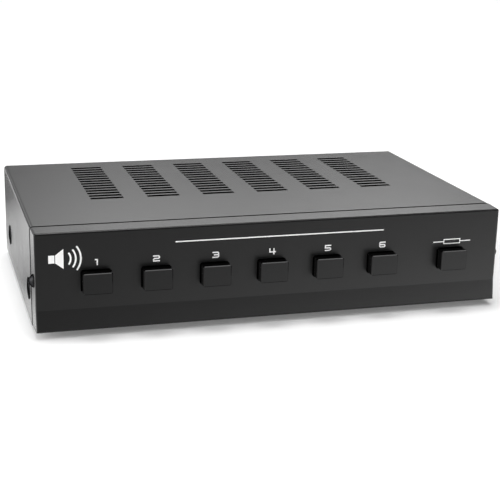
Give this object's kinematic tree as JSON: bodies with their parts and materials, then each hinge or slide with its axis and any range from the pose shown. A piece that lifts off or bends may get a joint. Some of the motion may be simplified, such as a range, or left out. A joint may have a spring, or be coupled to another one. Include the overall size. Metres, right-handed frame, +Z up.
{
  "type": "speaker selector switch",
  "caption": "Low steel box with a moulded front bezel, a row of rectangular latching push buttons, cooling slots in its cover and push terminals for speaker wire at the rear.",
  "frame": {"origin": "on the floor under the middle of the overall box", "axes": "+X to the right seen from the front, +Y from the front to the rear, +Z up"},
  "size_m": [0.264, 0.1722, 0.0565],
  "materials": {
    "case_paint": "fine textured black powder coat",
    "screw_paint": "blackened steel",
    "bracket_steel": "zinc plated",
    "bezel_plastic": "fine satin texture",
    "cap_plastic": "satin",
    "plunger_plastic": "satin",
    "switch_plastic": "matte",
    "board_laminate": "phenolic laminate",
    "resistor_cement": "matte cement",
    "block_plastic": "satin",
    "socket_plastic": "satin",
    "cable_plastic": "satin",
    "clip_brass": "spring brass",
    "lever_red": "gloss",
    "lever_black": "gloss",
    "foot_rubber": "matte"
  },
  "bodies": {
    "case": {"top_cover": "case_paint", "base_pan": "case_paint", "bezel_angles": "bracket_steel", "front_bezel": "bezel_plastic", "switch_board": "board_laminate", "switch_bodies": "switch_plastic", "board_brackets": "bracket_steel", "protection_resistors": "resistor_cement", "terminal_board": "board_laminate", "terminal_blocks": "block_plastic", "contact_clips": "clip_brass", "cable_sockets": "socket_plastic", "ribbon_cables": "cable_plastic", "cover_screws": "screw_paint", "bezel_screws": "screw_paint", "rubber_feet": "foot_rubber"},
    "button_1": {"button_cap_1": "cap_plastic", "switch_plunger_1": "plunger_plastic"},
    "button_2": {"button_cap_2": "cap_plastic", "switch_plunger_2": "plunger_plastic"},
    "button_3": {"button_cap_3": "cap_plastic", "switch_plunger_3": "plunger_plastic"},
    "button_4": {"button_cap_4": "cap_plastic", "switch_plunger_4": "plunger_plastic"},
    "button_5": {"button_cap_5": "cap_plastic", "switch_plunger_5": "plunger_plastic"},
    "button_6": {"button_cap_6": "cap_plastic", "switch_plunger_6": "plunger_plastic"},
    "button_protection": {"button_cap_protection": "cap_plastic", "switch_plunger_protection": "plunger_plastic"},
    "lever_input_upper_red": {"lever_input_upper_red": "lever_red"},
    "lever_input_upper_black": {"lever_input_upper_black": "lever_black"},
    "lever_input_lower_red": {"lever_input_lower_red": "lever_red"},
    "lever_input_lower_black": {"lever_input_lower_black": "lever_black"},
    "lever_zone1_upper_red": {"lever_zone1_upper_red": "lever_red"},
    "lever_zone1_upper_black": {"lever_zone1_upper_black": "lever_black"},
    "lever_zone1_lower_red": {"lever_zone1_lower_red": "lever_red"},
    "lever_zone1_lower_black": {"lever_zone1_lower_black": "lever_black"},
    "lever_zone2_upper_red": {"lever_zone2_upper_red": "lever_red"},
    "lever_zone2_upper_black": {"lever_zone2_upper_black": "lever_black"},
    "lever_zone2_lower_red": {"lever_zone2_lower_red": "lever_red"},
    "lever_zone2_lower_black": {"lever_zone2_lower_black": "lever_black"},
    "lever_zone3_upper_red": {"lever_zone3_upper_red": "lever_red"},
    "lever_zone3_upper_black": {"lever_zone3_upper_black": "lever_black"},
    "lever_zone3_lower_red": {"lever_zone3_lower_red": "lever_red"},
    "lever_zone3_lower_black": {"lever_zone3_lower_black": "lever_black"},
    "lever_zone4_upper_red": {"lever_zone4_upper_red": "lever_red"},
    "lever_zone4_upper_black": {"lever_zone4_upper_black": "lever_black"},
    "lever_zone4_lower_red": {"lever_zone4_lower_red": "lever_red"},
    "lever_zone4_lower_black": {"lever_zone4_lower_black": "lever_black"},
    "lever_zone5_upper_red": {"lever_zone5_upper_red": "lever_red"},
    "lever_zone5_upper_black": {"lever_zone5_upper_black": "lever_black"},
    "lever_zone5_lower_red": {"lever_zone5_lower_red": "lever_red"},
    "lever_zone5_lower_black": {"lever_zone5_lower_black": "lever_black"},
    "lever_zone6_upper_red": {"lever_zone6_upper_red": "lever_red"},
    "lever_zone6_upper_black": {"lever_zone6_upper_black": "lever_black"},
    "lever_zone6_lower_red": {"lever_zone6_lower_red": "lever_red"},
    "lever_zone6_lower_black": {"lever_zone6_lower_black": "lever_black"}
  },
  "joints": [
    {"name": "button_1_push", "type": "slide", "parent": "case", "child": "button_1", "axis": [0, 1, 0], "range_m": [0, 0.004], "stiffness_N_per_m": 400, "springref_m": -0.003},
    {"name": "button_2_push", "type": "slide", "parent": "case", "child": "button_2", "axis": [0, 1, 0], "range_m": [0, 0.004], "stiffness_N_per_m": 400, "springref_m": -0.003},
    {"name": "button_3_push", "type": "slide", "parent": "case", "child": "button_3", "axis": [0, 1, 0], "range_m": [0, 0.004], "stiffness_N_per_m": 400, "springref_m": -0.003},
    {"name": "button_4_push", "type": "slide", "parent": "case", "child": "button_4", "axis": [0, 1, 0], "range_m": [0, 0.004], "stiffness_N_per_m": 400, "springref_m": -0.003},
    {"name": "button_5_push", "type": "slide", "parent": "case", "child": "button_5", "axis": [0, 1, 0], "range_m": [0, 0.004], "stiffness_N_per_m": 400, "springref_m": -0.003},
    {"name": "button_6_push", "type": "slide", "parent": "case", "child": "button_6", "axis": [0, 1, 0], "range_m": [0, 0.004], "stiffness_N_per_m": 400, "springref_m": -0.003},
    {"name": "button_protection_push", "type": "slide", "parent": "case", "child": "button_protection", "axis": [0, 1, 0], "range_m": [0, 0.004], "stiffness_N_per_m": 400, "springref_m": -0.003},
    {"name": "lever_input_upper_red_press", "type": "hinge", "parent": "case", "child": "lever_input_upper_red", "pos_m": [0.1085, 0.07875, 0.04295], "axis": [-1, 0, 0], "range_deg": [0, 15], "stiffness_Nm_per_rad": 0.1, "springref_deg": -17.19},
    {"name": "lever_input_upper_black_press", "type": "hinge", "parent": "case", "child": "lever_input_upper_black", "pos_m": [0.0955, 0.07875, 0.04295], "axis": [-1, 0, 0], "range_deg": [0, 15], "stiffness_Nm_per_rad": 0.1, "springref_deg": -17.19},
    {"name": "lever_input_lower_red_press", "type": "hinge", "parent": "case", "child": "lever_input_lower_red", "pos_m": [0.1085, 0.07875, 0.02645], "axis": [-1, 0, 0], "range_deg": [0, 15], "stiffness_Nm_per_rad": 0.1, "springref_deg": -17.19},
    {"name": "lever_input_lower_black_press", "type": "hinge", "parent": "case", "child": "lever_input_lower_black", "pos_m": [0.0955, 0.07875, 0.02645], "axis": [-1, 0, 0], "range_deg": [0, 15], "stiffness_Nm_per_rad": 0.1, "springref_deg": -17.19},
    {"name": "lever_zone1_upper_red_press", "type": "hinge", "parent": "case", "child": "lever_zone1_upper_red", "pos_m": [0.0745, 0.07875, 0.04295], "axis": [-1, 0, 0], "range_deg": [0, 15], "stiffness_Nm_per_rad": 0.1, "springref_deg": -17.19},
    {"name": "lever_zone1_upper_black_press", "type": "hinge", "parent": "case", "child": "lever_zone1_upper_black", "pos_m": [0.0615, 0.07875, 0.04295], "axis": [-1, 0, 0], "range_deg": [0, 15], "stiffness_Nm_per_rad": 0.1, "springref_deg": -17.19},
    {"name": "lever_zone1_lower_red_press", "type": "hinge", "parent": "case", "child": "lever_zone1_lower_red", "pos_m": [0.0745, 0.07875, 0.02645], "axis": [-1, 0, 0], "range_deg": [0, 15], "stiffness_Nm_per_rad": 0.1, "springref_deg": -17.19},
    {"name": "lever_zone1_lower_black_press", "type": "hinge", "parent": "case", "child": "lever_zone1_lower_black", "pos_m": [0.0615, 0.07875, 0.02645], "axis": [-1, 0, 0], "range_deg": [0, 15], "stiffness_Nm_per_rad": 0.1, "springref_deg": -17.19},
    {"name": "lever_zone2_upper_red_press", "type": "hinge", "parent": "case", "child": "lever_zone2_upper_red", "pos_m": [0.0405, 0.07875, 0.04295], "axis": [-1, 0, 0], "range_deg": [0, 15], "stiffness_Nm_per_rad": 0.1, "springref_deg": -17.19},
    {"name": "lever_zone2_upper_black_press", "type": "hinge", "parent": "case", "child": "lever_zone2_upper_black", "pos_m": [0.0275, 0.07875, 0.04295], "axis": [-1, 0, 0], "range_deg": [0, 15], "stiffness_Nm_per_rad": 0.1, "springref_deg": -17.19},
    {"name": "lever_zone2_lower_red_press", "type": "hinge", "parent": "case", "child": "lever_zone2_lower_red", "pos_m": [0.0405, 0.07875, 0.02645], "axis": [-1, 0, 0], "range_deg": [0, 15], "stiffness_Nm_per_rad": 0.1, "springref_deg": -17.19},
    {"name": "lever_zone2_lower_black_press", "type": "hinge", "parent": "case", "child": "lever_zone2_lower_black", "pos_m": [0.0275, 0.07875, 0.02645], "axis": [-1, 0, 0], "range_deg": [0, 15], "stiffness_Nm_per_rad": 0.1, "springref_deg": -17.19},
    {"name": "lever_zone3_upper_red_press", "type": "hinge", "parent": "case", "child": "lever_zone3_upper_red", "pos_m": [0.0065, 0.07875, 0.04295], "axis": [-1, 0, 0], "range_deg": [0, 15], "stiffness_Nm_per_rad": 0.1, "springref_deg": -17.19},
    {"name": "lever_zone3_upper_black_press", "type": "hinge", "parent": "case", "child": "lever_zone3_upper_black", "pos_m": [-0.0065, 0.07875, 0.04295], "axis": [-1, 0, 0], "range_deg": [0, 15], "stiffness_Nm_per_rad": 0.1, "springref_deg": -17.19},
    {"name": "lever_zone3_lower_red_press", "type": "hinge", "parent": "case", "child": "lever_zone3_lower_red", "pos_m": [0.0065, 0.07875, 0.02645], "axis": [-1, 0, 0], "range_deg": [0, 15], "stiffness_Nm_per_rad": 0.1, "springref_deg": -17.19},
    {"name": "lever_zone3_lower_black_press", "type": "hinge", "parent": "case", "child": "lever_zone3_lower_black", "pos_m": [-0.0065, 0.07875, 0.02645], "axis": [-1, 0, 0], "range_deg": [0, 15], "stiffness_Nm_per_rad": 0.1, "springref_deg": -17.19},
    {"name": "lever_zone4_upper_red_press", "type": "hinge", "parent": "case", "child": "lever_zone4_upper_red", "pos_m": [-0.0275, 0.07875, 0.04295], "axis": [-1, 0, 0], "range_deg": [0, 15], "stiffness_Nm_per_rad": 0.1, "springref_deg": -17.19},
    {"name": "lever_zone4_upper_black_press", "type": "hinge", "parent": "case", "child": "lever_zone4_upper_black", "pos_m": [-0.0405, 0.07875, 0.04295], "axis": [-1, 0, 0], "range_deg": [0, 15], "stiffness_Nm_per_rad": 0.1, "springref_deg": -17.19},
    {"name": "lever_zone4_lower_red_press", "type": "hinge", "parent": "case", "child": "lever_zone4_lower_red", "pos_m": [-0.0275, 0.07875, 0.02645], "axis": [-1, 0, 0], "range_deg": [0, 15], "stiffness_Nm_per_rad": 0.1, "springref_deg": -17.19},
    {"name": "lever_zone4_lower_black_press", "type": "hinge", "parent": "case", "child": "lever_zone4_lower_black", "pos_m": [-0.0405, 0.07875, 0.02645], "axis": [-1, 0, 0], "range_deg": [0, 15], "stiffness_Nm_per_rad": 0.1, "springref_deg": -17.19},
    {"name": "lever_zone5_upper_red_press", "type": "hinge", "parent": "case", "child": "lever_zone5_upper_red", "pos_m": [-0.0615, 0.07875, 0.04295], "axis": [-1, 0, 0], "range_deg": [0, 15], "stiffness_Nm_per_rad": 0.1, "springref_deg": -17.19},
    {"name": "lever_zone5_upper_black_press", "type": "hinge", "parent": "case", "child": "lever_zone5_upper_black", "pos_m": [-0.0745, 0.07875, 0.04295], "axis": [-1, 0, 0], "range_deg": [0, 15], "stiffness_Nm_per_rad": 0.1, "springref_deg": -17.19},
    {"name": "lever_zone5_lower_red_press", "type": "hinge", "parent": "case", "child": "lever_zone5_lower_red", "pos_m": [-0.0615, 0.07875, 0.02645], "axis": [-1, 0, 0], "range_deg": [0, 15], "stiffness_Nm_per_rad": 0.1, "springref_deg": -17.19},
    {"name": "lever_zone5_lower_black_press", "type": "hinge", "parent": "case", "child": "lever_zone5_lower_black", "pos_m": [-0.0745, 0.07875, 0.02645], "axis": [-1, 0, 0], "range_deg": [0, 15], "stiffness_Nm_per_rad": 0.1, "springref_deg": -17.19},
    {"name": "lever_zone6_upper_red_press", "type": "hinge", "parent": "case", "child": "lever_zone6_upper_red", "pos_m": [-0.0955, 0.07875, 0.04295], "axis": [-1, 0, 0], "range_deg": [0, 15], "stiffness_Nm_per_rad": 0.1, "springref_deg": -17.19},
    {"name": "lever_zone6_upper_black_press", "type": "hinge", "parent": "case", "child": "lever_zone6_upper_black", "pos_m": [-0.1085, 0.07875, 0.04295], "axis": [-1, 0, 0], "range_deg": [0, 15], "stiffness_Nm_per_rad": 0.1, "springref_deg": -17.19},
    {"name": "lever_zone6_lower_red_press", "type": "hinge", "parent": "case", "child": "lever_zone6_lower_red", "pos_m": [-0.0955, 0.07875, 0.02645], "axis": [-1, 0, 0], "range_deg": [0, 15], "stiffness_Nm_per_rad": 0.1, "springref_deg": -17.19},
    {"name": "lever_zone6_lower_black_press", "type": "hinge", "parent": "case", "child": "lever_zone6_lower_black", "pos_m": [-0.1085, 0.07875, 0.02645], "axis": [-1, 0, 0], "range_deg": [0, 15], "stiffness_Nm_per_rad": 0.1, "springref_deg": -17.19}
  ]
}
